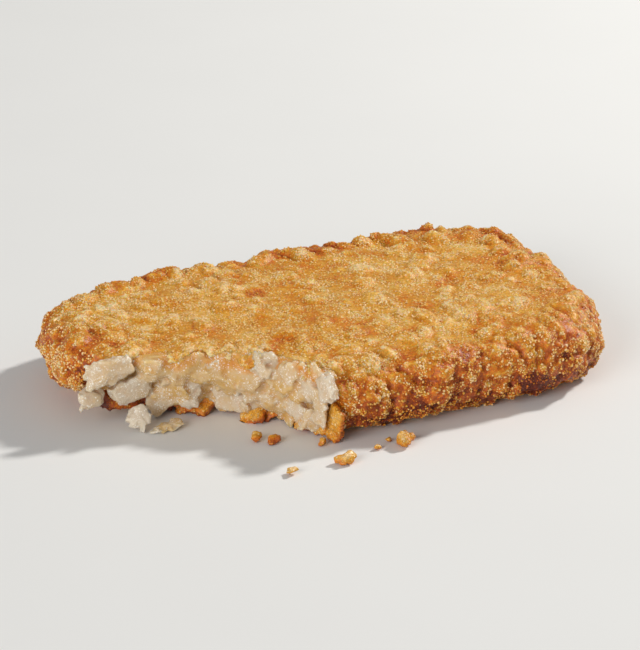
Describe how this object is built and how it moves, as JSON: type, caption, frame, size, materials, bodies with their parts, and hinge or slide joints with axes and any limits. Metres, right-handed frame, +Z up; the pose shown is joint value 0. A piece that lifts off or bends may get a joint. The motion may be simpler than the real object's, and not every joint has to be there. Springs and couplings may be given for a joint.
{
  "type": "hash brown",
  "caption": "Fried potato patty, oblong with rounded corners and a rough golden crust, with a bite out of one corner that shows pale shredded potato.",
  "frame": {"origin": "middle of the patty's box, on its flat underside", "axes": "+X along the patty, away from the bitten end; +Y across it, away from the bitten side; +Z up, out of the top"},
  "size_m": [0.1072, 0.0638, 0.0151],
  "materials": {
    "fried_crust": null
  },
  "bodies": {
    "root": {"hash_brown": "fried_crust"}
  },
  "joints": []
}
